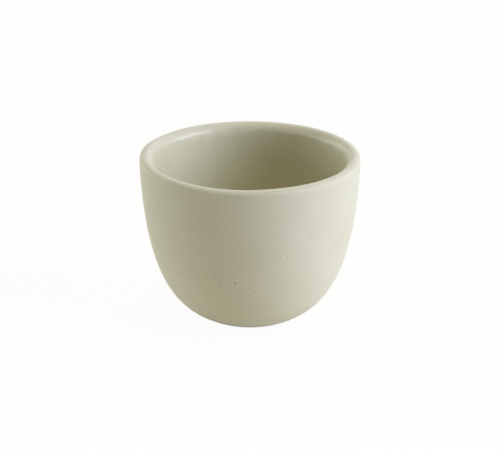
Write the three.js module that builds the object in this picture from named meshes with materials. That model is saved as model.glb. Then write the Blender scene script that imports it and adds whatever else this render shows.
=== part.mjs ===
// A handleless stoneware cup: one thrown clay body, a matt glaze outside, a satin glaze inside and over
// the lip, and a patch of glaze in the well under the foot. Sizes are in millimetres and +Z is up.
// The origin is on the table, at the centre of the foot ring.
// Each coat shares its inner surface with the clay point for point, so that the pieces meet face to face.
import * as THREE from "three";

// Overall sizes, over the glaze
const CUP_HEIGHT = 65.5;
const RIM_DIAMETER = 85;

// Clay
const WALL_AT_LIP = 4.7;
const LIP_OUTER_WIDTH = 2.1; // from the wall in to the lip's crest
const LIP_OUTER_DEPTH = 1.4; // from the crest down to the wall
const LIP_INNER_DEPTH = 2.8; // from the crest down to the bowl
const FLOOR_THICKNESS = 5;
const FOOT_DIAMETER = 31;
const FOOT_RING_WIDTH = 3.5;
const WELL_DEPTH = 1.2;

// Slopes
const WALL_LEAN = THREE.MathUtils.degToRad(2); // of the wall below the lip, from upright
const FOOT_RISE = THREE.MathUtils.degToRad(24.5); // of the bare bevel beside the foot, from the table
const WELL_DRAFT = THREE.MathUtils.degToRad(30); // of the well's side, from upright

// How far each end of a curve keeps its direction, as a share of that curve's own height or width
const LIP_CREST_FULLNESS = 0.31;
const LIP_EDGE_FULLNESS = 0.32;
const WALL_FULLNESS = 0.792;
const BELLY_FULLNESS = 0.448;
const BOWL_WALL_FULLNESS = 0.75;
const BOWL_FLOOR_FULLNESS = 0.7;

// Glaze
const GLAZE_THICKNESS = 0.4;
const GLAZE_LINE_HEIGHT = 1; // of the outside coat's lower edge, above the table
const GLAZE_PARTING = THREE.MathUtils.degToRad(20); // round the lip's outer shoulder, from level
const WELL_GLAZE_MARGIN = 1; // of bare clay between the patch and the well's side

// Facets
const SEGMENTS = 48;
const WALL_STEPS = 16;
const BOWL_STEPS = 18;
const SHOULDER_STEPS = 2;
const ROUND_STEPS = 5;
const EDGE_STEPS = 3;

const QUARTER_TURN = Math.PI / 2;
const HALF_TURN = Math.PI;

/** A point of a profile: radius from the axis, height above the table. */
function point(radius, height) {
  return new THREE.Vector2(radius, height);
}

/** The point a given distance from another, at an angle turned from level towards upright. */
function reach(from, angle, distance) {
  return point(Math.cos(angle), Math.sin(angle)).multiplyScalar(distance).add(from);
}

/** A stretch of an upright oval under its crest, drawn anticlockwise between two directions that it faces. */
function oval(crest, width, depth, from, to) {
  const turn = (facing) => Math.atan2(depth * Math.sin(facing), width * Math.cos(facing));
  return new THREE.EllipseCurve(crest.x, crest.y - depth, width, depth, turn(from), turn(to));
}

/** Points along a curve, each with the direction that faces out of the clay, without the first one. */
function trace(curve, steps) {
  return Array.from({ length: steps }, (_, step) => {
    const share = (step + 1) / steps;
    const along = curve.getTangent(share);
    return { at: curve.getPoint(share), out: point(along.y, -along.x) };
  });
}

/** The clay's own surface under a traced stretch. */
function clayUnder(stretch) {
  return stretch.map(({ at }) => at);
}

/** The surface of the glaze over a traced stretch. */
function glazeOver(stretch) {
  return stretch.map(({ at, out }) => at.clone().addScaledVector(out, GLAZE_THICKNESS));
}

/** The rounded edge in which a coat ends, from the bare clay up to the coat's full thickness. */
function rolledEdge(start, along, out) {
  return Array.from({ length: EDGE_STEPS }, (_, step) => {
    const turn = (QUARTER_TURN * (step + 1)) / EDGE_STEPS;
    return start
      .clone()
      .addScaledVector(along, GLAZE_THICKNESS * (1 - Math.cos(turn)))
      .addScaledVector(out, GLAZE_THICKNESS * Math.sin(turn));
  });
}

/** A named piece turned from a profile about the Z axis. */
function turned(name, profile, finish) {
  const geometry = new THREE.LatheGeometry(profile, SEGMENTS);
  geometry.rotateX(QUARTER_TURN);
  const mesh = new THREE.Mesh(geometry, new THREE.MeshStandardMaterial({ metalness: 0, ...finish }));
  mesh.name = name;
  return mesh;
}

// The lip in the clay: a low oval outside its crest, and a slope inside that turns over into the bowl
const clayRimRadius = RIM_DIAMETER / 2 - GLAZE_THICKNESS;
const lipCrest = point(clayRimRadius - LIP_OUTER_WIDTH, CUP_HEIGHT - GLAZE_THICKNESS);
const bowlTop = point(clayRimRadius - WALL_AT_LIP, lipCrest.y - LIP_INNER_DEPTH);
const shoulderCurve = oval(lipCrest, LIP_OUTER_WIDTH, LIP_OUTER_DEPTH, -WALL_LEAN, GLAZE_PARTING);
const crownCurve = oval(lipCrest, LIP_OUTER_WIDTH, LIP_OUTER_DEPTH, GLAZE_PARTING, QUARTER_TURN);
const slopeCurve = new THREE.CubicBezierCurve(
  lipCrest,
  reach(lipCrest, HALF_TURN, LIP_CREST_FULLNESS * (lipCrest.x - bowlTop.x)),
  reach(bowlTop, QUARTER_TURN - WALL_LEAN, LIP_EDGE_FULLNESS * LIP_INNER_DEPTH),
  bowlTop,
);

// The wall outside, from the glaze line up to the lip
const glazeLine = point(FOOT_DIAMETER / 2 + GLAZE_LINE_HEIGHT / Math.tan(FOOT_RISE), GLAZE_LINE_HEIGHT);
const wallTop = shoulderCurve.getPoint(0);
const wallCurve = new THREE.CubicBezierCurve(
  glazeLine,
  reach(glazeLine, FOOT_RISE, BELLY_FULLNESS * (wallTop.x - glazeLine.x)),
  reach(wallTop, -QUARTER_TURN - WALL_LEAN, WALL_FULLNESS * (wallTop.y - glazeLine.y)),
  wallTop,
);

// The bowl inside, from the lip down to the middle of the floor
const floorCentre = point(0, WELL_DEPTH + FLOOR_THICKNESS);
const bowlCurve = new THREE.CubicBezierCurve(
  bowlTop,
  reach(bowlTop, -QUARTER_TURN - WALL_LEAN, BOWL_WALL_FULLNESS * (bowlTop.y - floorCentre.y)),
  point(BOWL_FLOOR_FULLNESS * bowlTop.x, floorCentre.y),
  floorCentre,
);

// The clay's surface in stretches, from the glaze line over the lip to the floor
const wall = trace(wallCurve, WALL_STEPS);
const shoulder = trace(shoulderCurve, SHOULDER_STEPS);
const lip = [...trace(crownCurve, ROUND_STEPS), ...trace(slopeCurve, ROUND_STEPS)];
const bowl = trace(bowlCurve, BOWL_STEPS).slice(0, -1);
const parting = shoulder.slice(-1);
const glazedFloorCentre = floorCentre.clone().setY(floorCentre.y + GLAZE_THICKNESS);

// The well under the foot
const wellMouthRadius = FOOT_DIAMETER / 2 - FOOT_RING_WIDTH;
const wellRadius = wellMouthRadius - WELL_DEPTH * Math.tan(WELL_DRAFT);
const wellCentre = point(0, WELL_DEPTH);
const patchEdge = point(wellRadius - WELL_GLAZE_MARGIN, WELL_DEPTH);
const inwards = point(-1, 0);
const downwards = point(0, -1);

const clayProfile = [
  wellCentre,
  patchEdge,
  point(wellRadius, WELL_DEPTH),
  point(wellMouthRadius, 0),
  point(FOOT_DIAMETER / 2, 0),
  glazeLine,
  ...clayUnder([...wall, ...shoulder, ...lip, ...bowl]),
  floorCentre,
];

const coated = [...wall, ...shoulder];
const upTheBevel = reach(point(0, 0), FOOT_RISE, 1);
const outOfTheBevel = reach(point(0, 0), FOOT_RISE - QUARTER_TURN, 1);
const outsideProfile = [
  glazeLine,
  ...rolledEdge(glazeLine, upTheBevel, outOfTheBevel),
  ...glazeOver(coated),
  ...clayUnder(coated).reverse(),
  glazeLine,
];

const lined = [...parting, ...lip, ...bowl];
const linerProfile = [
  floorCentre,
  ...clayUnder(lined).reverse(),
  ...glazeOver(lined),
  glazedFloorCentre,
];

const patchProfile = [
  wellCentre.clone().setY(WELL_DEPTH - GLAZE_THICKNESS),
  ...rolledEdge(patchEdge, inwards, downwards).reverse(),
  patchEdge,
  wellCentre,
];

const cup = new THREE.Group();
cup.name = "handleless_cup";
cup.add(turned("stoneware_body", clayProfile, { color: 0xb7aa92, roughness: 0.9 }));
cup.add(turned("outside_glaze", outsideProfile, { color: 0xcbc8b4, roughness: 0.6 }));
cup.add(turned("liner_glaze", linerProfile, { color: 0xc9c5ab, roughness: 0.4 }));
cup.add(turned("well_glaze", patchProfile, { color: 0xcbc8b4, roughness: 0.6 }));

export default cup;
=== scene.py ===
"""Looks for a handleless stoneware cup: finely turned meshes, glazes, a white sweep and soft light.

Lengths are metres, and names that end in _mm or _deg say otherwise. The cup's axis is +Z, it stands on
Z = 0, and the camera looks from -Y. Outlines are turned about that axis, as on a potter's wheel.
"""

import logging
import math
import random
from dataclasses import dataclass
from enum import Enum
from typing import Callable, NamedTuple, Optional, Sequence, Union

import bmesh
import bpy
import numpy as np
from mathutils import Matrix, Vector, bvhtree, kdtree, noise


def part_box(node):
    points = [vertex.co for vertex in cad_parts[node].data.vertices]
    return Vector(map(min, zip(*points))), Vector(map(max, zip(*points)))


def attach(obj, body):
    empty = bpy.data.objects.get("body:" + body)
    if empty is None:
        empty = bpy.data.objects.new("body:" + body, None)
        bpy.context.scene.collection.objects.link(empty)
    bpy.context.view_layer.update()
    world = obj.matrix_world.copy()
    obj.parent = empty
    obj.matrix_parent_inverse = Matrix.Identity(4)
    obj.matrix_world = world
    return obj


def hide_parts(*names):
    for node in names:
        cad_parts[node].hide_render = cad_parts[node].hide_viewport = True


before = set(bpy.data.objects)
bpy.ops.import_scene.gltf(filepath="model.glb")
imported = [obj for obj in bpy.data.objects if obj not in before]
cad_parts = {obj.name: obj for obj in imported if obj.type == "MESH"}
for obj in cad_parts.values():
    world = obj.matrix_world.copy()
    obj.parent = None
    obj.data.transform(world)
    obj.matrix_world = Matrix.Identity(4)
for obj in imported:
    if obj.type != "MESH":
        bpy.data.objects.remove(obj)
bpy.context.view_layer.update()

LOG = logging.getLogger("cup")
MM = 0.001
FULL_TURN = 2 * math.pi
QUARTER_TURN = math.pi / 2
BODY = "root"
IMAGE_WIDTH_PX = 500
SENSOR_MM = 36.0
PAINTED_PIT_LIGHT = "pinhole"  # carries each pit's painted shade and highlight from the mesh to the glaze

# A radius below which a point of an outline is on the axis
AXIS_RADIUS = 1e-7

# Each finer set of lumps in the waves is half as high and half as large
WAVE_FALL, WAVE_STEP = 1.0, 2.0

# The Mix node's sockets for colours, which share their names with those for numbers
MIX_SHARE, MIX_UNDER, MIX_OVER, MIX_SHOWN = 0, 6, 7, 2

Array = np.ndarray
Material = bpy.types.Material
Object = bpy.types.Object
Socket = bpy.types.NodeSocket
Tree = bpy.types.NodeTree
Limits = tuple[float, float]
Relief = Callable[[Array, Array, Array], Array]
Setting = Union[float, int, bool, str, Sequence[float]]


class Slot(Enum):
    """The record's material slots."""

    STONEWARE = "stoneware"
    MATT = "matt_glaze"
    SATIN = "satin_glaze"


class Onset(Enum):
    """How a change builds up along the pattern or the length that it follows."""

    EVEN = "LINEAR"
    EASED = "SMOOTHSTEP"


def linear_rgba(srgb_hex: str) -> tuple[float, float, float, float]:
    """Turns an sRGB hex colour into a linear one.

    Args:
        srgb_hex: Six hex digits.

    Returns:
        Red, green, blue and an alpha of 1.
    """
    channels = [int(srgb_hex[place:place + 2], 16) / 255 for place in (0, 2, 4)]
    red, green, blue = (
        value / 12.92 if value <= 0.04045 else ((value + 0.055) / 1.055) ** 2.4 for value in channels
    )
    return red, green, blue, 1.0


def per_metre(size_mm: float) -> float:
    """The pattern scale at which one feature of a texture is that size on the cup."""
    return 1 / (size_mm * MM)


def put_in_scene(name: str, data: bpy.types.ID) -> Object:
    """Puts a mesh, a lamp or a camera in the scene.

    Args:
        name: The new object's name.
        data: What it shows.

    Returns:
        The object.
    """
    thing = bpy.data.objects.new(name, data)
    bpy.context.scene.collection.objects.link(thing)
    return thing


def add_node(
    tree: Tree,
    kind: str,
    inputs: Optional[dict[Union[int, str], Union[Socket, Setting]]] = None,
    **settings: Setting,
) -> bpy.types.Node:
    """Adds one node with its settings, values and links.

    Args:
        tree: The node tree that it goes into.
        kind: The node's type name, without the ShaderNode before it.
        inputs: A value, or a socket to link from, for each input by name or number.
        settings: The node's own properties.

    Returns:
        The new node.
    """
    node = tree.nodes.new(f"ShaderNode{kind}")
    for name, value in settings.items():
        setattr(node, name, value)
    for key, value in (inputs or {}).items():
        if isinstance(value, Socket):
            tree.links.new(value, node.inputs[key])
        else:
            node.inputs[key].default_value = value
    return node


def new_material(name: str) -> tuple[Material, Tree]:
    """Makes a material that has no nodes yet.

    Args:
        name: The material's name.

    Returns:
        The material and its node tree.
    """
    material = bpy.data.materials.new(name)
    material.use_nodes = True
    material.node_tree.nodes.clear()
    return material, material.node_tree


class Layer(NamedTuple):
    """A colour that covers those under it where a pattern is strong.

    Attributes:
        colour_hex: The colour.
        pattern: The pattern that it follows.
        start: The pattern's value at which it starts to show.
        full: The pattern's value at which it shows most.
        share: How much it then covers, from 0 to 1.
        onset: How it builds up between the two.
    """

    colour_hex: str
    pattern: Socket
    start: float = 0.0
    full: float = 1.0
    share: float = 1.0
    onset: Onset = Onset.EVEN


def layered(tree: Tree, base_hex: str, layers: Sequence[Layer]) -> Socket:
    """Lays colours over each other.

    Args:
        tree: The material's node tree.
        base_hex: The colour under all of them.
        layers: The colours over it, from the lowest up.

    Returns:
        The colour that shows.
    """
    shown: Union[Socket, Sequence[float]] = linear_rgba(base_hex)
    for layer in layers:
        limits = {"From Min": layer.start, "From Max": layer.full, "To Max": layer.share}
        cover = add_node(
            tree, "MapRange", {"Value": layer.pattern, **limits}, interpolation_type=layer.onset.value
        )
        colours = {MIX_UNDER: shown, MIX_OVER: linear_rgba(layer.colour_hex)}
        mixed = add_node(tree, "Mix", {MIX_SHARE: cover.outputs[0], **colours}, data_type="RGBA")
        shown = mixed.outputs[MIX_SHOWN]
    return shown


def end_in_surface(
    tree: Tree,
    sockets: dict[str, Union[Socket, float]],
    grain: Socket,
    grain_height_mm: float,
) -> None:
    """Ends a material in a surface with fine grain on it.

    Args:
        tree: The material's node tree.
        sockets: The surface's colour, roughness and other values, by the shader's own names.
        grain: The pattern of the grain.
        grain_height_mm: How high the grain stands.
    """
    bump = add_node(tree, "Bump", {"Height": grain, "Distance": grain_height_mm * MM})
    surface = add_node(tree, "BsdfPrincipled", {**sockets, "Normal": bump.outputs[0]})
    add_node(tree, "OutputMaterial", {"Surface": surface.outputs[0]})


@dataclass(frozen=True)
class Outline:
    """A stretch of a turned outline.

    Attributes:
        points: Radius and height of each point.
        outward: The direction at each point that faces out of the piece, on the right of the travel.
        shown: 1 where relief is drawn, 0 on faces that lie against another piece.
    """

    points: Array
    outward: Array
    shown: Array

    def then(self, other: "Outline") -> "Outline":
        """This stretch followed by another one."""
        pairs = zip((self.points, self.outward, self.shown), (other.points, other.outward, other.shown))
        return Outline(*(np.concatenate(pair) for pair in pairs))

    def picked(self, which: Union[slice, list[int]]) -> "Outline":
        """The stretch with only some of its points."""
        return Outline(self.points[which], self.outward[which], self.shown[which])

    def without_first(self) -> "Outline":
        """The stretch without the point that it shares with the one before."""
        return self.picked(slice(1, None))

    def without_last(self) -> "Outline":
        """The stretch without the point that it shares with the one after."""
        return self.picked(slice(None, -1))

    def reversed(self) -> "Outline":
        """The same stretch from its other end."""
        return self.picked(slice(None, None, -1))

    def every(self, step: int) -> "Outline":
        """A coarser copy for hidden faces, with both ends kept."""
        return self.picked(sorted({*range(0, len(self.points), step), len(self.points) - 1}))

    def raised(self, distance: float) -> "Outline":
        """The same stretch moved outwards."""
        return Outline(self.points + distance * self.outward, self.outward, self.shown)

    def hidden(self) -> "Outline":
        """The same stretch where another piece lies on it."""
        return Outline(self.points, self.outward, np.zeros(len(self.points)))

    def backwards(self) -> "Outline":
        """The same stretch as the hidden back of the piece that lies on it."""
        return Outline(self.points[::-1], -self.outward[::-1], np.zeros(len(self.points)))


def curve(poles: Sequence[Sequence[float]], spacing: float) -> Outline:
    """A cubic curve through its first and last poles, steered by the two between them.

    Args:
        poles: The four poles, as radius and height.
        spacing: About how far apart its points lie.

    Returns:
        The curve as a shown stretch.
    """
    start, leave, arrive, end = (np.asarray(pole, float) for pole in poles)
    first, second, third = leave - start, arrive - leave, end - arrive
    steps = max(2, math.ceil(sum(np.linalg.norm(leg) for leg in (first, second, third)) / spacing))
    gone = np.linspace(0, 1, steps + 1)[:, None]
    left = 1 - gone
    points = left**3 * start + 3 * left**2 * gone * leave + 3 * left * gone**2 * arrive + gone**3 * end
    along = left**2 * first + 2 * left * gone * second + gone**2 * third
    along /= np.linalg.norm(along, axis=1, keepdims=True)
    return Outline(points, np.stack([along[:, 1], -along[:, 0]], axis=1), np.ones(steps + 1))


def straight(start: Sequence[float], end: Sequence[float], spacing: float) -> Outline:
    """A straight stretch between two points."""
    first, last = np.asarray(start, float), np.asarray(end, float)
    return curve((first, first + (last - first) / 3, last - (last - first) / 3, last), spacing)


def oval(
    centre: Sequence[float], reach: Sequence[float], start: float, end: float, spacing: float
) -> Outline:
    """A stretch of an upright oval, with its outward side away from the centre.

    Args:
        centre: Its centre, as radius and height.
        reach: Its half width and half height.
        start: The angle that it faces at its first point, from level towards upright.
        end: The angle that it faces at its last point.
        spacing: About how far apart its points lie.

    Returns:
        The oval as a shown stretch.
    """
    reach = np.asarray(reach, float)
    steps = max(3, math.ceil(reach.max() * abs(end - start) / spacing))
    facing = np.linspace(start, end, steps + 1)
    outward = np.stack([np.cos(facing), np.sin(facing)], axis=1)
    stretch = np.linalg.norm(outward * reach, axis=1, keepdims=True)
    return Outline(np.asarray(centre, float) + outward * reach**2 / stretch, outward, np.ones(steps + 1))


@dataclass(frozen=True)
class CupShape:
    """The fired clay and its coats, as the solids have them.

    The overall sizes and the thickness of the glaze come from the frame. A fullness is how far the end of
    a curve keeps its direction, as a share of that curve's own height or width. A spacing is how far apart
    the points of an outline lie, and hidden faces keep one point in every hidden_step.
    """

    rim_radius: float
    height: float
    glaze: float
    floor_height: float
    well_depth: float
    patch_radius: float
    lip_outer_width: float = 2.1 * MM
    lip_outer_depth: float = 1.4 * MM
    lip_inner_depth: float = 2.8 * MM
    wall_at_lip: float = 4.7 * MM
    foot_radius: float = 15.5 * MM
    foot_ring_width: float = 3.5 * MM
    glaze_line_height: float = 1.0 * MM
    wall_lean: float = math.radians(2)
    foot_rise: float = math.radians(24.5)
    well_draft: float = math.radians(30)
    glaze_parting: float = math.radians(20)
    lip_crest_fullness: float = 0.31
    lip_edge_fullness: float = 0.32
    wall_fullness: float = 0.792
    belly_fullness: float = 0.448
    bowl_wall_fullness: float = 0.75
    bowl_floor_fullness: float = 0.7
    wall_spacing: float = 0.55 * MM
    round_spacing: float = 0.15 * MM
    edge_spacing: float = 0.2  # of a coat's rolled edge, as a share of the coat's thickness
    hidden_step: int = 4

    @classmethod
    def from_frame(cls) -> "CupShape":
        """Reads the overall sizes from the solids' boxes.

        Returns:
            The shape.
        """
        coat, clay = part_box("outside_glaze")[1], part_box("stoneware_body")[1]
        liner_low, liner_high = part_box("liner_glaze")
        patch_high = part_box("well_glaze")[1]
        return cls(
            rim_radius=coat.x,
            height=liner_high.z,
            glaze=coat.x - clay.x,
            floor_height=liner_low.z,
            well_depth=patch_high.z,
            patch_radius=patch_high.x,
        )

    @property
    def lip_crest(self) -> Array:
        """The top of the clay's lip."""
        return np.array([self.rim_radius - self.glaze - self.lip_outer_width, self.height - self.glaze])

    @property
    def glaze_line(self) -> Array:
        """The lower edge of the outside coat, on the clay."""
        run = self.glaze_line_height / math.tan(self.foot_rise)
        return np.array([self.foot_radius + run, self.glaze_line_height])

    @property
    def downhill(self) -> Array:
        """Direction down the wall below the lip."""
        return np.array([-math.sin(self.wall_lean), -math.cos(self.wall_lean)])

    @property
    def uphill(self) -> Array:
        """Direction up the bare bevel beside the foot."""
        return np.array([math.cos(self.foot_rise), math.sin(self.foot_rise)])

    def outer_round(self, start: float, end: float) -> Outline:
        """The clay of the lip's outer round between two facing angles."""
        reach = (self.lip_outer_width, self.lip_outer_depth)
        return oval(self.lip_crest - [0.0, self.lip_outer_depth], reach, start, end, self.round_spacing)

    def inner_slope(self) -> Outline:
        """The clay of the lip's inner slope.

        Returns:
            The stretch from the crest to its tight turn into the bowl.
        """
        crest = self.lip_crest
        width, depth = self.wall_at_lip - self.lip_outer_width, self.lip_inner_depth
        end = crest - [width, depth]
        over = crest - [self.lip_crest_fullness * width, 0.0]
        turn = end - self.lip_edge_fullness * depth * self.downhill
        return curve((crest, over, turn, end), self.round_spacing)

    def wall(self) -> Outline:
        """The clay under the outside coat.

        Returns:
            The stretch from the glaze line to the parting of the coats on the lip's shoulder.
        """
        shoulder = self.outer_round(-self.wall_lean, self.glaze_parting)
        top = shoulder.points[0]
        foot = self.glaze_line
        belly = foot + self.belly_fullness * (top[0] - foot[0]) * self.uphill
        side = top + self.wall_fullness * (top[1] - foot[1]) * self.downhill
        return curve((foot, belly, side, top), self.wall_spacing).then(shoulder.without_first())

    def inside(self) -> Outline:
        """The clay under the liner.

        Returns:
            The stretch from the parting of the coats over the lip to the middle of the floor.
        """
        crown = self.outer_round(self.glaze_parting, QUARTER_TURN)
        lip = crown.then(self.inner_slope().without_first())
        top = lip.points[-1]
        middle = np.array([0.0, self.floor_height])
        side = top + self.bowl_wall_fullness * (top[1] - middle[1]) * self.downhill
        floor = np.array([self.bowl_floor_fullness * top[0], middle[1]])
        return lip.then(curve((top, side, floor, middle), self.wall_spacing).without_first())

    def foot(self) -> Outline:
        """The bare clay under the cup.

        Returns:
            The stretch from the middle of the well to the glaze line.
        """
        mouth = self.foot_radius - self.foot_ring_width
        corners = (
            (0.0, self.well_depth),
            (mouth - self.well_depth * math.tan(self.well_draft), self.well_depth),
            (mouth, 0.0),
            (self.foot_radius, 0.0),
            tuple(self.glaze_line),
        )
        sides = [straight(*ends, self.wall_spacing) for ends in zip(corners, corners[1:])]
        joined = sides[0]
        for side in sides[1:]:
            joined = joined.then(side)
        return joined

    def rolled_edge(self, start: Array, along: Array, out: Array) -> Outline:
        """The rounded edge in which a coat ends.

        Args:
            start: Where the coat ends on the clay.
            along: Direction from there along the clay, under the coat.
            out: Direction out of the clay.

        Returns:
            The stretch from the clay up to the coat's full thickness.
        """
        centre = start + self.glaze * along
        first, last = math.atan2(-along[1], -along[0]), math.atan2(out[1], out[0])
        turn = (last - first + math.pi) % FULL_TURN - math.pi
        reach = (self.glaze, self.glaze)
        return oval(centre, reach, first, first + turn, self.glaze * self.edge_spacing)

    def clay_body(self) -> Outline:
        """The whole outline of the clay.

        Returns:
            The outline from the middle of the well to the middle of the floor, shown where it is bare.
        """
        wall, inside = self.wall().every(self.hidden_step), self.inside().every(self.hidden_step)
        covered = wall.then(inside.without_first()).hidden()
        return self.foot().then(covered.without_first())

    def outside_coat(self) -> Outline:
        """The whole outline of the outside coat.

        Returns:
            The outline, which closes on itself at the glaze line.
        """
        wall = self.wall()
        out = np.array([self.uphill[1], -self.uphill[0]])
        edge = self.rolled_edge(self.glaze_line, self.uphill, out)
        front = edge.then(wall.raised(self.glaze).without_first())
        return front.then(wall.every(self.hidden_step).backwards()).without_last()

    def liner_coat(self) -> Outline:
        """The whole outline of the liner, up its back, over the lip and down into the bowl."""
        inside = self.inside()
        return inside.every(self.hidden_step).backwards().then(inside.raised(self.glaze))

    def well_patch(self) -> Outline:
        """The whole outline of the patch of glaze in the well.

        Returns:
            The outline from the middle of its lower face round its edge to the middle of its back.
        """
        rim = np.array([self.patch_radius, self.well_depth])
        middle = np.array([0.0, self.well_depth])
        edge = self.rolled_edge(rim, np.array([-1.0, 0.0]), np.array([0.0, -1.0]))
        below = straight(middle - [0.0, self.glaze], edge.points[-1], self.wall_spacing)
        above = straight(middle, rim, self.wall_spacing).every(self.hidden_step).backwards()
        return below.then(edge.reversed().without_first()).then(above.without_first())


def waves(points: Array, size_mm: float, octaves: int) -> Array:
    """Smooth noise from -1 to 1 over points on the cup.

    Args:
        points: Places in metres, in any array whose last axis has length 3.
        size_mm: The size of the largest lumps.
        octaves: How many sets of lumps there are.

    Returns:
        One number for each place.
    """
    flat = points.reshape(-1, 3) * per_metre(size_mm)
    values = [noise.fractal(Vector(place), WAVE_FALL, WAVE_STEP, octaves) for place in flat]
    return np.array(values).reshape(points.shape[:-1])


def swell(place: Array, middle: float, reach: float) -> Array:
    """1 at a middle, falling smoothly to 0 a reach to either side."""
    return np.cos(np.clip((place - middle) / reach, -1, 1) * QUARTER_TURN) ** 2


@dataclass(frozen=True)
class Stray:
    """A stretch of the rim that the potter's hand moved off its true round.

    Attributes:
        turn_deg: Its middle, from the side that faces the camera towards +X.
        spread_deg: How far it reaches to either side.
        outwards: How far it is moved outwards at its middle.
        upwards: How far it is moved upwards at its middle.
    """

    turn_deg: float
    spread_deg: float
    outwards: float = 0.0
    upwards: float = 0.0

    def share(self, turn: Array) -> Array:
        """1 at its middle, falling smoothly to 0 at its ends."""
        away = (turn - math.radians(self.turn_deg) + math.pi) % FULL_TURN - math.pi
        return swell(away, 0.0, math.radians(self.spread_deg))


@dataclass(frozen=True)
class Pinhole:
    """A small pit or scratch in the glaze, left by a bubble or a tool.

    Attributes:
        turn_deg: Place round the cup, from the side that faces the camera towards +X.
        height_mm: Place above the table.
        width_mm: Width of its mouth up the wall.
        length_mm: Length of its mouth round the wall.
        depth_mm: Depth of its middle.
        painted_shading: How far its middle is darkened with painted shade, from 0 to 1, or lightened with a
            painted highlight, from 0 to -1.
    """

    turn_deg: float
    height_mm: float
    width_mm: float
    length_mm: float
    depth_mm: float
    painted_shading: float


@dataclass(frozen=True)
class StrewnPinholes:
    """Pinholes strewn by chance over a stretch of a glaze, the same ones for the same seed.

    Each pair is the least and the greatest of what it names. A stretch is a pinhole's length in widths,
    and the depth share is its depth in widths.
    """

    count: int
    seed: int
    turns_deg: Limits
    heights_mm: Limits
    widths_mm: Limits = (0.35, 0.7)
    stretches: Limits = (1.0, 2.2)
    # painted shade in the pits' hollows
    painted_shading_limits: Limits = (0.1, 0.9)
    depth_share: float = 0.25

    def drawn(self) -> list[Pinhole]:
        """Draws the pinholes.

        Returns:
            The pinholes.
        """
        chance = random.Random(self.seed)
        pinholes = []
        for _ in range(self.count):
            width = chance.uniform(*self.widths_mm)
            turn = chance.uniform(*self.turns_deg)
            height = chance.uniform(*self.heights_mm)
            length = width * chance.uniform(*self.stretches)
            painted_shading = chance.uniform(*self.painted_shading_limits)
            pinholes.append(Pinhole(turn, height, width, length, self.depth_share * width, painted_shading))
        return pinholes


class Pit(NamedTuple):
    """A pinhole placed on a mesh: its frame, its half sizes, its depth and its painted shading."""

    centre: Vector
    outward: Vector
    around: Vector
    half_width: float
    half_length: float
    depth: float
    painted_shading: float

    @property
    def reach(self) -> float:
        """A distance from its centre that holds all of it."""
        return self.half_length + self.half_width

    def widened(self, margin: float) -> "Pit":
        """The same pit with a margin round it."""
        return self._replace(half_width=self.half_width + margin, half_length=self.half_length + margin)

    def nearness(self, place: Vector) -> float:
        """How near a place is to the middle.

        Args:
            place: A place on the mesh.

        Returns:
            1 at the pit's middle, 0 at its edge and less outside.
        """
        offset = place - self.centre
        along, up = offset.dot(self.around), offset.dot(self.outward.cross(self.around))
        return 1 - (along / self.half_length) ** 2 - (up / self.half_width) ** 2


def near_finder(places: Sequence[Vector]) -> kdtree.KDTree:
    """Makes a finder of the places that are near a point.

    Args:
        places: The places.

    Returns:
        The finder, which gives each place with its number in the list.
    """
    finder = kdtree.KDTree(len(places))
    for number, place in enumerate(places):
        finder.insert(place, number)
    finder.balance()
    return finder


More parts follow.
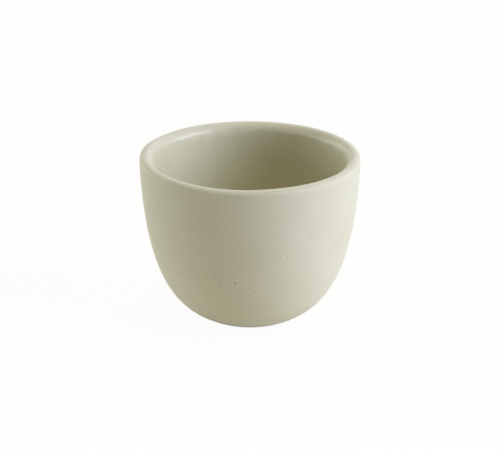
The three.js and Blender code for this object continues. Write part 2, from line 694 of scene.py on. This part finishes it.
@dataclass
class TurnedPiece:
    """A closed mesh turned from an outline, with its relief and pits.

    Attributes:
        name: The piece's name in the scene.
        node: The solid that it stands for.
        slot: The record's material slot.
        outline: The whole outline, from axis to axis, or closing on itself.
        relief: How far each point is moved outwards, from its place, turn and height.
        strays: Where the rim strays from a circle.
        stray_heights: Where on the wall the strays begin, and the rim, where they are whole.
        pinholes: Pits in its shown face.
        segments: Steps round the axis.
        crease: The angle between faces from which an edge is sharp.
        pit_cuts: Cuts across each edge of the mesh at a pit.
        pit_margin: How far round a pit the mesh is cut.
        pit_search: How far outside the outline the search for a pit's place on the mesh starts.
        pit_facing: How nearly a face has to face the pit's way to belong to it, as a cosine.
    """

    name: str
    node: str
    slot: Slot
    outline: Outline
    relief: Relief
    strays: Sequence[Stray]
    stray_heights: Limits
    pinholes: Sequence[Pinhole] = ()
    segments: int = 256
    crease: float = math.radians(32)
    pit_cuts: int = 4
    pit_margin: float = 0.6 * MM
    pit_search: float = 2.0 * MM
    pit_facing: float = 0.5

    @property
    def on_axis(self) -> Array:
        """Which points of the outline are on the axis."""
        return self.outline.points[:, 0] < AXIS_RADIUS

    def grid(self) -> Array:
        """Turns the outline about the axis, and adds the strays and the relief.

        Returns:
            The place of every point of the outline at every step round.
        """
        turn = np.arange(self.segments) * FULL_TURN / self.segments
        around = np.stack([np.sin(turn), -np.cos(turn), np.zeros_like(turn)], axis=1)
        up = np.array([0.0, 0.0, 1.0])
        radius, height = self.outline.points.T
        places = radius[:, None, None] * around + height[:, None, None] * up
        low, high = self.stray_heights
        rise = np.clip((height - low) / (high - low), 0, 1)[:, None, None] ** 2
        for stray in self.strays:
            share = rise * stray.share(turn)[None, :, None]
            places = places + share * (stray.outwards * around + stray.upwards * up)
        out_r, out_z = self.outline.outward.T
        outward = out_r[:, None, None] * around + out_z[:, None, None] * up
        moved = self.outline.shown[:, None] * self.relief(places, turn[None, :], height[:, None])
        moved[self.on_axis] = moved[self.on_axis].mean(axis=1, keepdims=True)
        return places + moved[..., None] * outward

    def skin(self) -> tuple[list[list[float]], list[list[int]]]:
        """Joins the turned points to a closed skin, with one point for each row that is on the axis.

        Returns:
            The points, and each face as the numbers of its corners.
        """
        places = self.grid()
        rows, steps = places.shape[:2]
        index = np.arange(rows * steps).reshape(rows, steps)
        index[self.on_axis] = index[self.on_axis][:, :1]
        used, packed = np.unique(index, return_inverse=True)
        index = packed.reshape(rows, steps)
        closes = not self.on_axis[0]
        faces = []
        for row in range(rows if closes else rows - 1):
            low, high = index[row], index[(row + 1) % rows]
            for step in range(steps):
                after = (step + 1) % steps
                corners = (low[step], low[after], high[after], high[step])
                faces.append(list(dict.fromkeys(corners)))
        return places.reshape(-1, 3)[used].tolist(), faces

    def build(self) -> Object:
        """Makes the mesh, cuts its pits and puts the piece in the scene.

        Returns:
            The piece, which has no finish yet.
        """
        points, faces = self.skin()
        mesh = bpy.data.meshes.new(self.name)
        mesh.from_pydata(points, [], faces)
        self.cut_pits(mesh)
        mesh.validate()
        mesh.shade_smooth()
        mesh.set_sharp_from_angle(angle=self.crease)
        piece = put_in_scene(self.name, mesh)
        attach(piece, BODY)
        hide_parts(self.node)
        return piece

    def pit_places(self, skin: bvhtree.BVHTree) -> list[Pit]:
        """Places each pinhole on the shown face.

        Args:
            skin: The mesh's surface.

        Returns:
            The placed pits.
        """
        shown = self.outline.shown > 0
        radius, height = self.outline.points[shown].T
        out_r, out_z = self.outline.outward[shown].T
        order = np.argsort(height)
        placed = []
        for pinhole in self.pinholes:
            at = pinhole.height_mm * MM
            reach, level, upright = (
                np.interp(at, height[order], values[order]) for values in (radius, out_r, out_z)
            )
            turn = math.radians(pinhole.turn_deg)
            away = Vector((math.sin(turn), -math.cos(turn), 0))
            around = Vector((math.cos(turn), math.sin(turn), 0))
            outward = (away * level + Vector((0, 0, upright))).normalized()
            start = away * reach + Vector((0, 0, at)) + outward * self.pit_search
            centre = skin.ray_cast(start, -outward)[0]
            half_sizes = (pinhole.width_mm * MM / 2, pinhole.length_mm * MM / 2)
            placed.append(Pit(centre, outward, around, *half_sizes, pinhole.depth_mm * MM, pinhole.painted_shading))
        return placed

    def refine(self, shape: bmesh.types.BMesh, pits: Sequence[Pit]) -> None:
        """Cuts the mesh finer round each pit.

        Args:
            shape: The mesh, which is changed.
            pits: The placed pits.
        """
        shape.faces.ensure_lookup_table()
        near = near_finder([face.calc_center_median() for face in shape.faces])
        edges = set()
        for pit in pits:
            wide = pit.widened(self.pit_margin)
            for place, number, _ in near.find_range(pit.centre, wide.reach):
                face = shape.faces[number]
                if face.normal.dot(pit.outward) > self.pit_facing and wide.nearness(place) > 0:
                    edges.update(face.edges)
        if edges:
            bmesh.ops.subdivide_edges(shape, edges=list(edges), cuts=self.pit_cuts, use_grid_fill=True)

    def sink(self, shape: bmesh.types.BMesh, pits: Sequence[Pit]) -> None:
        """Pushes the middle of each pit in, and marks its painted shade or highlight on the mesh's points.

        Args:
            shape: The refined mesh, which is changed.
            pits: The placed pits.
        """
        painted_light_layer = shape.verts.layers.float.new(PAINTED_PIT_LIGHT)
        shape.verts.ensure_lookup_table()
        shape.normal_update()
        near = near_finder([vert.co for vert in shape.verts])
        for pit in pits:
            for place, number, _ in near.find_range(pit.centre, pit.reach):
                vert = shape.verts[number]
                hollow = max(0.0, pit.nearness(place)) ** 2
                if vert.normal.dot(pit.outward) > self.pit_facing and hollow > 0:
                    vert.co -= pit.outward * hollow * pit.depth
                    vert[painted_light_layer] = max(vert[painted_light_layer], hollow * pit.painted_shading, key=abs)

    def cut_pits(self, mesh: bpy.types.Mesh) -> None:
        """Cuts every pinhole into the mesh.

        Args:
            mesh: The mesh, which is changed.
        """
        shape = bmesh.new()
        shape.from_mesh(mesh)
        shape.normal_update()
        pits = self.pit_places(bvhtree.BVHTree.FromBMesh(shape))
        self.refine(shape, pits)
        self.sink(shape, pits)
        shape.to_mesh(mesh)
        shape.free()


@dataclass(frozen=True)
class GlazeFinish:
    """Stoneware glaze, poured or sprayed on and fired.

    It is clouded where the coat is uneven, specked with iron that bled from the clay, pitted where bubbles
    burst, and a little paler where it thins over the lip. Its pits get painted shade in their hollows, and
    some a painted highlight on the side that the key lamp lights. Limits are the values of a pattern between
    which what follows it builds up.
    """

    name: str
    body_hex: str
    cloud_hex: str
    thin_hex: str  # over the lip
    roughness: float
    roughness_swing: float
    gloss: float
    shoulder_roughness: float = 0.65  # where the coats ran into each other
    speck_hex: str = "6a5c45"
    # painted shade in a pit's hollow
    painted_pit_shade_hex: str = "6e6448"
    painted_pit_highlight_hex: str = "f4f1e2"  # painted highlight on the side of a pit that the key lamp lights
    ior: float = 1.52
    cloud_mm: float = 17.0
    cloud_detail: float = 2.0
    cloud_limits: Limits = (0.35, 0.65)
    cloud_share: float = 0.5
    mottle_mm: float = 1.6
    mottle_detail: float = 3.0
    mottle_limits: Limits = (0.4, 0.7)
    mottle_share: float = 0.03
    roughness_limits: Limits = (0.3, 0.7)
    speck_spacing_mm: float = 4.0
    speck_mm: float = 0.7
    speck_core: float = 0.4  # the part of its radius that is whole
    speck_share: float = 0.5
    speck_rarity: float = 0.75  # the share of places for specks that stays empty
    stipple_mm: float = 0.9  # real stipple is about 0.3 mm, drawn coarser so that it shows
    stipple_detail: float = 2.0
    stipple_height_mm: float = 0.006
    thin_depth: float = 4.0 * MM  # below the rim

    def specks(self, tree: Tree, place: Socket) -> Socket:
        """Iron specks in a few of the cells of an uneven grid.

        Args:
            tree: The material's node tree.
            place: The place on the cup.

        Returns:
            1 in the middle of a full speck, 0 where there is none.
        """
        cells = add_node(tree, "TexVoronoi", {"Vector": place, "Scale": per_metre(self.speck_spacing_mm)})
        radius = self.speck_mm / self.speck_spacing_mm / 2
        limits = {"From Min": radius, "From Max": radius * self.speck_core}
        speck = add_node(tree, "MapRange", {"Value": cells.outputs["Distance"], **limits})
        draw = add_node(tree, "SeparateColor", {0: cells.outputs["Color"]})
        chance = add_node(tree, "MapRange", {"Value": draw.outputs[0], "From Min": self.speck_rarity})
        rare = add_node(tree, "Math", {0: speck.outputs[0], 1: chance.outputs[0]}, operation="MULTIPLY")
        return rare.outputs[0]

    def dulled(
        self, tree: Tree, place: Socket, mottle: Socket, crest_radius: float, rim_radius: float
    ) -> Socket:
        """Roughness that follows the mottle, and changes over the lip's outer shoulder.

        Args:
            tree: The material's node tree.
            place: The place on the cup.
            mottle: The pattern of the mottle.
            crest_radius: Radius of the lip's crest, where the change starts.
            rim_radius: Radius of the lip's outer shoulder, where it ends.

        Returns:
            The roughness.
        """
        low, high = self.roughness_limits
        smooth, dull = self.roughness - self.roughness_swing, self.roughness + self.roughness_swing
        swing = {"From Min": low, "From Max": high, "To Min": smooth, "To Max": dull}
        rough = add_node(tree, "MapRange", {"Value": mottle, **swing})
        level = add_node(tree, "VectorMath", {0: place, 1: (1, 1, 0)}, operation="MULTIPLY")
        radius = add_node(tree, "VectorMath", {0: level.outputs[0]}, operation="LENGTH")
        shoulder = {"From Min": crest_radius, "From Max": rim_radius, "To Max": self.shoulder_roughness}
        changed = add_node(
            tree,
            "MapRange",
            {"Value": radius.outputs["Value"], "To Min": rough.outputs[0], **shoulder},
            interpolation_type=Onset.EASED.value,
        )
        return changed.outputs[0]

    def material(self, lip_height: float, crest_radius: float, rim_radius: float) -> Material:
        """Builds the glaze's node material.

        Args:
            lip_height: Height of the lip, over which the coat is thinnest.
            crest_radius: Radius of the lip's crest, where the roughness starts to change.
            rim_radius: Radius of the lip's outer shoulder, where the coats run into each other.

        Returns:
            The material.
        """
        material, tree = new_material(self.name)
        place = add_node(tree, "TexCoord").outputs["Object"]
        height = add_node(tree, "SeparateXYZ", {0: place}).outputs["Z"]
        pit = add_node(tree, "Attribute", attribute_name=PAINTED_PIT_LIGHT).outputs["Fac"]
        sizes = (
            (self.cloud_mm, self.cloud_detail),
            (self.mottle_mm, self.mottle_detail),
            (self.stipple_mm, self.stipple_detail),
        )
        cloud, mottle, stipple = (
            add_node(
                tree, "TexNoise", {"Vector": place, "Scale": per_metre(size), "Detail": detail}
            ).outputs["Fac"]
            for size, detail in sizes
        )
        layers = (
            Layer(self.cloud_hex, cloud, *self.cloud_limits, self.cloud_share),
            Layer(self.speck_hex, mottle, *self.mottle_limits, self.mottle_share),
            Layer(self.thin_hex, height, lip_height - self.thin_depth, lip_height, onset=Onset.EASED),
            Layer(self.speck_hex, self.specks(tree, place), share=self.speck_share),
            # painted highlight on a pit whose mark is below 0
            Layer(self.painted_pit_highlight_hex, pit, full=-1.0),
            # painted shade in the hollow of a pit whose mark is above 0
            Layer(self.painted_pit_shade_hex, pit),
        )
        sockets = {
            "Base Color": layered(tree, self.body_hex, layers),
            "Roughness": self.dulled(tree, place, mottle, crest_radius, rim_radius),
            "IOR": self.ior,
            "Specular IOR Level": self.gloss,
        }
        end_in_surface(tree, sockets, stipple, self.stipple_height_mm)
        return material


@dataclass(frozen=True)
class ClayFinish:
    """Bare fired stoneware, trimmed on the wheel and wiped clean of glaze.

    It is dry and buff, with fine grog in it, so the eye sees grain and no highlight.
    """

    name: str = "bare_stoneware"
    body_hex: str = "b9ab88"
    pale_hex: str = "d0c5a6"
    grog_hex: str = "8e7c5c"
    roughness: float = 0.92
    ior: float = 1.5
    tone_mm: float = 6.0
    tone_detail: float = 4.0
    grog_mm: float = 0.8  # real grog is about 0.3 mm, drawn coarser so that it shows
    grog_limits: Limits = (0.25, 0.1)  # from a grain's middle, in grains: its edge and its core
    grog_share: float = 0.6
    grit_mm: float = 0.5
    grit_detail: float = 3.0
    grit_height_mm: float = 0.03

    def material(self) -> Material:
        """Builds the clay's node material.

        Returns:
            The material.
        """
        material, tree = new_material(self.name)
        place = add_node(tree, "TexCoord").outputs["Object"]
        tone, grit = (
            add_node(
                tree, "TexNoise", {"Vector": place, "Scale": per_metre(size), "Detail": detail}
            ).outputs["Fac"]
            for size, detail in ((self.tone_mm, self.tone_detail), (self.grit_mm, self.grit_detail))
        )
        grog = add_node(tree, "TexVoronoi", {"Vector": place, "Scale": per_metre(self.grog_mm)})
        layers = (
            Layer(self.pale_hex, tone),
            Layer(self.grog_hex, grog.outputs["Distance"], *self.grog_limits, self.grog_share),
        )
        sockets = {
            "Base Color": layered(tree, self.body_hex, layers),
            "Roughness": self.roughness,
            "IOR": self.ior,
        }
        end_in_surface(tree, sockets, grit, self.grit_height_mm)
        return material


@dataclass(frozen=True)
class StonewareCup:
    """The cup: bare clay, the coat outside, the liner and the patch in the well."""

    shape: CupShape
    clay: ClayFinish = ClayFinish()
    # Matt stoneware glaze, sprayed on and fired until fine crystals cover it: they scatter the light, so the
    # eye sees soft shading, a faint pale veil towards the lamps and no highlight
    matt: GlazeFinish = GlazeFinish(
        name="matt_stoneware_glaze",
        body_hex="cac8b6",
        cloud_hex="cfcdbf",
        thin_hex="cdcbb9",
        roughness=0.65,
        roughness_swing=0.06,
        gloss=0.28,
    )
    # Satin stoneware glaze, poured in and swilled over the lip: it melted further and settled smooth, so the
    # eye sees a blurred highlight along the lip's inner edge and a slight sheen in the bowl
    satin: GlazeFinish = GlazeFinish(
        name="satin_liner_glaze",
        body_hex="cdcaaf",
        cloud_hex="d1ceb6",
        thin_hex="cdcbb8",
        roughness=0.35,
        roughness_swing=0.03,
        gloss=0.38,
    )
    ring_height: float = 0.03 * MM
    ring_pitch: float = 5.5 * MM  # climbed in each turn
    ripple_height: float = 0.02 * MM
    ripple_mm: float = 12.0
    wave_octaves: int = 2
    wander: float = 0.22 * MM  # of the lip's inner edge
    wander_mm: float = 6.0
    wander_middle: float = 3.6 * MM  # below the rim
    wander_reach: float = 2.8 * MM
    worn_edges: Sequence[Stray] = (  # where a wet finger rounded the lip's inner edge
        Stray(turn_deg=192, spread_deg=54, outwards=-0.3 * MM),
        Stray(turn_deg=108, spread_deg=45, outwards=-0.3 * MM),
        Stray(turn_deg=262, spread_deg=40, outwards=-0.2 * MM),
    )
    worn_middle: float = 2.8 * MM  # below the rim
    worn_reach: float = 1.9 * MM
    deepest_wear: float = 0.33 * MM  # the coat still covers the clay there
    trim_height: float = 0.03 * MM
    trim_pitch: float = 1.1 * MM
    strays: Sequence[Stray] = (  # of the rim, from a true circle
        Stray(turn_deg=-14, spread_deg=34, upwards=-0.28 * MM),
        Stray(turn_deg=175, spread_deg=50, upwards=-0.15 * MM),
        Stray(turn_deg=-110, spread_deg=20, outwards=0.4 * MM),
    )
    stray_start: float = 30.0 * MM
    # Each row is turn_deg, height_mm, width_mm, length_mm, depth_mm and painted_shading; a negative
    # painted_shading is a painted highlight, mostly just left of a darker pit, where the key lamp lights its
    # side
    seen_pinholes: Sequence[Pinhole] = (  # on the side that faces the camera
        Pinhole(-12.5, 63.4, 0.5, 1.4, 0.12, 0.45),
        Pinhole(-11, 62.9, 0.4, 1.2, 0.1, 0.3),
        Pinhole(-6.5, 63.6, 0.6, 0.8, 0.2, 0.45),
        Pinhole(-5.5, 62.8, 0.6, 0.7, 0.2, 0.3),
        Pinhole(-7.2, 62.9, 0.7, 0.7, 0.1, -0.3),
        Pinhole(-16, 58.8, 0.8, 2.6, 0.06, 0.15),
        Pinhole(-8.5, 56.3, 0.6, 1.4, 0.1, 0.12),
        Pinhole(-0.5, 55.4, 0.8, 1.0, 0.15, 0.2),
        Pinhole(0.8, 54.6, 0.7, 0.8, 0.1, -0.25),
        Pinhole(-17.5, 44.0, 0.6, 0.7, 0.15, 0.45),
        Pinhole(-17, 42.5, 0.8, 0.9, 0.1, -0.3),
        Pinhole(-10.5, 41.7, 0.8, 0.8, 0.15, 0.2),
        Pinhole(19, 37.9, 1.2, 0.9, 0.15, -0.9),
        Pinhole(20, 38.0, 0.9, 0.5, 0.15, 0.45),
        Pinhole(-4.5, 34.9, 0.6, 2.4, 0.08, 0.2),
        Pinhole(-20.5, 29.3, 1.1, 0.7, 0.25, 0.6),
        Pinhole(-21.3, 28.6, 0.8, 0.5, 0.1, -0.4),
        Pinhole(-17, 26.8, 0.7, 1.1, 0.2, 0.45),
        Pinhole(-8.5, 27.4, 0.8, 1.0, 0.3, 1.0),
        Pinhole(-10, 27.5, 0.7, 0.7, 0.1, -0.4),
        Pinhole(-24, 24.7, 0.5, 3.2, 0.08, 0.25),
        Pinhole(-3, 26.0, 0.7, 0.6, 0.15, 0.3),
        Pinhole(-0.8, 25.3, 1.0, 0.6, 0.2, 0.45),
        Pinhole(0.2, 24.6, 0.9, 0.6, 0.1, -0.5),
        Pinhole(0.6, 23.8, 0.7, 0.6, 0.15, 0.3),
        Pinhole(-12, 23.4, 0.6, 12.0, 0.04, 0.16),
        Pinhole(-6.2, 18.4, 0.6, 1.4, 0.2, 0.75),
        Pinhole(12.5, 16.7, 0.8, 0.9, 0.1, -0.4),
        Pinhole(13.7, 16.3, 0.8, 0.8, 0.2, 0.35),
        Pinhole(-40.5, 15.3, 1.3, 0.7, 0.25, 0.9),
    )
    strewn_pinholes: StrewnPinholes = StrewnPinholes(36, seed=5, turns_deg=(82, 278), heights_mm=(5, 60))
    lip_pinholes: Sequence[Pinhole] = (Pinhole(-130.5, 62.1, 1.1, 0.9, 0.2, 0.5),)
    bowl_pinholes: StrewnPinholes = StrewnPinholes(16, seed=8, turns_deg=(-180, 180), heights_mm=(14, 58))

    def thrown(self, places: Array, turn: Array, height: Array) -> Array:
        """Throwing rings that climb one pitch a turn, and the slow ripple of the coat over them.

        Args:
            places: Places on the piece.
            turn: Their turn round the cup.
            height: Their height on the outline.

        Returns:
            How far each place is moved outwards.
        """
        climb = height / self.ring_pitch - turn / FULL_TURN
        rings = self.ring_height * (np.cos(FULL_TURN * climb) - 1) / 2
        ripple = self.ripple_height * (waves(places, self.ripple_mm, self.wave_octaves) - 1) / 2
        return rings + ripple

    def lined(self, places: Array, turn: Array, height: Array) -> Array:
        """As thrown, with the lip's inner edge wandering and worn rounder where a wet finger ran.

        Args:
            places: Places on the piece.
            turn: Their turn round the cup.
            height: Their height on the outline.

        Returns:
            How far each place is moved outwards.
        """
        below_rim = self.shape.height - height
        wander = self.wander * waves(places, self.wander_mm, self.wave_octaves)
        worn = sum(edge.share(turn) * edge.outwards for edge in self.worn_edges)
        moved = swell(below_rim, self.wander_middle, self.wander_reach) * wander
        moved = moved + swell(below_rim, self.worn_middle, self.worn_reach) * worn
        inner = np.hypot(places[..., 0], places[..., 1]) < self.shape.lip_crest[0]
        return self.thrown(places, turn, height) + inner * np.maximum(moved, -self.deepest_wear)

    def trimmed(self, places: Array, turn: Array, height: Array) -> Array:
        """Fine grooves that the trimming tool left round the foot."""
        radius = np.hypot(places[..., 0], places[..., 1])
        return self.trim_height * (np.cos(FULL_TURN * radius / self.trim_pitch) - 1) / 2

    def pieces(self) -> list[TurnedPiece]:
        """The turned pieces.

        Returns:
            The pieces, from the clay outwards.
        """
        shape = self.shape
        rim = (self.strays, (self.stray_start, shape.height))
        coat_pits = (*self.seen_pinholes, *self.strewn_pinholes.drawn())
        liner_pits = (*self.lip_pinholes, *self.bowl_pinholes.drawn())
        clay, coat = shape.clay_body(), shape.outside_coat()
        liner, patch = shape.liner_coat(), shape.well_patch()
        return [
            TurnedPiece("clay_body", "stoneware_body", Slot.STONEWARE, clay, self.trimmed, *rim),
            TurnedPiece(
                "matt_outside_glaze", "outside_glaze", Slot.MATT, coat, self.thrown, *rim, coat_pits
            ),
            TurnedPiece(
                "satin_liner_glaze", "liner_glaze", Slot.SATIN, liner, self.lined, *rim, liner_pits
            ),
            TurnedPiece("well_glaze_patch", "well_glaze", Slot.MATT, patch, self.thrown, *rim),
        ]

    def finishes(self) -> dict[Slot, Material]:
        """The finish of each slot.

        Returns:
            The materials by slot.
        """
        lip = (self.shape.height, self.shape.lip_crest[0], self.shape.rim_radius)
        return {
            Slot.STONEWARE: self.clay.material(),
            Slot.MATT: self.matt.material(*lip),
            Slot.SATIN: self.satin.material(*lip),
        }

    def build(self) -> list[Object]:
        """Builds every piece and dresses it in its slot's finish.

        Returns:
            The pieces, from the clay outwards.
        """
        finishes = self.finishes()
        built = []
        for piece in self.pieces():
            thing = piece.build()
            thing.data.materials.append(finishes[piece.slot])
            built.append(thing)
        return built


@dataclass(frozen=True)
class Softbox:
    """A rectangular soft light that faces the cup.

    It stands turn_deg from the camera's side towards +X, and its middle is rise_deg above level, seen from
    the cup. Its power is in watts.
    """

    name: str
    turn_deg: float
    rise_deg: float
    width: float
    height: float
    power: float
    tint_hex: str
    distance: float = 1.2

    def build(self, aim: Vector) -> None:
        """Puts the lamp in the scene.

        Args:
            aim: The point that it faces.
        """
        lamp = bpy.data.lights.new(self.name, "AREA")
        lamp.energy = self.power
        lamp.shape = "RECTANGLE"
        lamp.size, lamp.size_y = self.width, self.height
        lamp.color = linear_rgba(self.tint_hex)[:3]
        turn, rise = math.radians(self.turn_deg), math.radians(self.rise_deg)
        away = Vector((math.sin(turn) * math.cos(rise), -math.cos(turn) * math.cos(rise), math.sin(rise)))
        holder = put_in_scene(self.name, lamp)
        holder.location = aim + away * self.distance
        holder.rotation_euler = away.to_track_quat("Z", "Y").to_euler()


@dataclass(frozen=True)
class Studio:
    """A white sweep, soft lamps, a pale surround and the camera."""

    centre: Vector
    lamps: Sequence[Softbox] = (
        Softbox("key", 74, 22, width=0.95, height=0.72, power=18.2, tint_hex="e4eaff"),
        Softbox("left", -105, 12, width=1.6, height=0.6, power=9.8, tint_hex="f6fbff"),
        Softbox("back", 180, 45, width=1.2, height=0.8, power=3.5, tint_hex="ecf7ff"),
        Softbox("overhead", 0, 90, width=1.2, height=1.2, power=5.9, tint_hex="ffefba"),
    )
    floor_size: float = 6.0
    floor_hex: str = "fdf7de"
    floor_white_share: float = 0.95  # to the camera, while the rest keeps the shadow
    surround_hex: str = "ffe8a0"
    surround_strength: float = 0.005
    view_rise_deg: float = 21.4
    view_distance: float = 0.8
    pixels_per_mm: float = 2.5675
    aim_above_centre: float = 3.5 * MM

    def seen_share(self, tree: Tree) -> Socket:
        """Tells the rays that show the background from those that light the cup.

        Args:
            tree: The node tree of the sweep or the surround.

        Returns:
            1 for rays straight from the camera, or by gloss or glass, and 0 for the rest.
        """
        path = add_node(tree, "LightPath")
        share = path.outputs["Is Camera Ray"]
        for ray in ("Is Glossy Ray", "Is Transmission Ray"):
            either = add_node(tree, "Math", {0: share, 1: path.outputs[ray]}, operation="MAXIMUM")
            share = either.outputs[0]
        return share

    def sweep_paper(self) -> Material:
        """Builds the sweep's node material.

        Returns:
            The material.
        """
        # White studio paper, smooth and uncoated: it scatters the light evenly, so the eye sees a clean
        # white ground with the cup's soft shadow. It is clear from below, so that the foot can be seen.
        material, tree = new_material("white_paper_sweep")
        paper = add_node(tree, "BsdfDiffuse", {"Color": linear_rgba(self.floor_hex)})
        white = add_node(tree, "Emission", {"Strength": 1.0})
        shares = {0: self.seen_share(tree), 1: self.floor_white_share}
        share = add_node(tree, "Math", shares, operation="MULTIPLY").outputs[0]
        sheet = add_node(tree, "MixShader", {0: share, 1: paper.outputs[0], 2: white.outputs[0]})
        below = add_node(tree, "NewGeometry").outputs["Backfacing"]
        clear = add_node(tree, "BsdfTransparent")
        both = add_node(tree, "MixShader", {0: below, 1: sheet.outputs[0], 2: clear.outputs[0]})
        add_node(tree, "OutputMaterial", {"Surface": both.outputs[0]})
        return material

    def build_floor(self) -> None:
        """The sweep that the cup stands on."""
        half = self.floor_size / 2
        corners = [(-half, -half, 0), (half, -half, 0), (half, half, 0), (-half, half, 0)]
        mesh = bpy.data.meshes.new("floor")
        mesh.from_pydata(corners, [], [(0, 1, 2, 3)])
        mesh.materials.append(self.sweep_paper())
        put_in_scene("floor", mesh)

    def build_surround(self) -> None:
        """The dim room, white where it shows."""
        world = bpy.data.worlds.new("surround")
        world.use_nodes = True
        tree = world.node_tree
        tree.nodes.clear()
        room = {"Color": linear_rgba(self.surround_hex), "Strength": self.surround_strength}
        dim = add_node(tree, "Background", room)
        white = add_node(tree, "Background", {"Color": linear_rgba("ffffff"), "Strength": 1.0})
        seen = self.seen_share(tree)
        mixed = add_node(tree, "MixShader", {0: seen, 1: dim.outputs[0], 2: white.outputs[0]})
        add_node(tree, "OutputWorld", {"Surface": mixed.outputs[0]})
        bpy.context.scene.world = world

    def build_camera(self) -> None:
        """The camera at the photograph's angle and framing."""
        rise = math.radians(self.view_rise_deg)
        back = Vector((0, -math.cos(rise), math.sin(rise)))
        camera = bpy.data.cameras.new("camera")
        camera.sensor_fit = "HORIZONTAL"
        camera.sensor_width = SENSOR_MM
        focal_px = self.pixels_per_mm * self.view_distance / MM
        camera.lens = focal_px * SENSOR_MM / IMAGE_WIDTH_PX
        holder = put_in_scene("camera", camera)
        holder.location = self.centre + back * self.view_distance
        aim = self.centre + Vector((0, 0, self.aim_above_centre))
        holder.rotation_euler = (holder.location - aim).to_track_quat("Z", "Y").to_euler()
        bpy.context.scene.camera = holder

    def build(self) -> None:
        """Builds the floor, the surround, the lamps and the camera."""
        self.build_floor()
        self.build_surround()
        for lamp in self.lamps:
            lamp.build(self.centre)
        self.build_camera()
        bpy.context.scene.view_settings.view_transform = "Standard"


def main() -> None:
    """Builds the studio and the cup, and reports each piece's vertices and faces."""
    logging.basicConfig(level=logging.INFO, format="%(name)s: %(message)s")
    shape = CupShape.from_frame()
    Studio(Vector((0, 0, shape.height / 2))).build()
    for piece in StonewareCup(shape).build():
        mesh = piece.data
        LOG.info("%s: %d vertices, %d faces", piece.name, len(mesh.vertices), len(mesh.polygons))


if __name__ == "__main__":
    main()
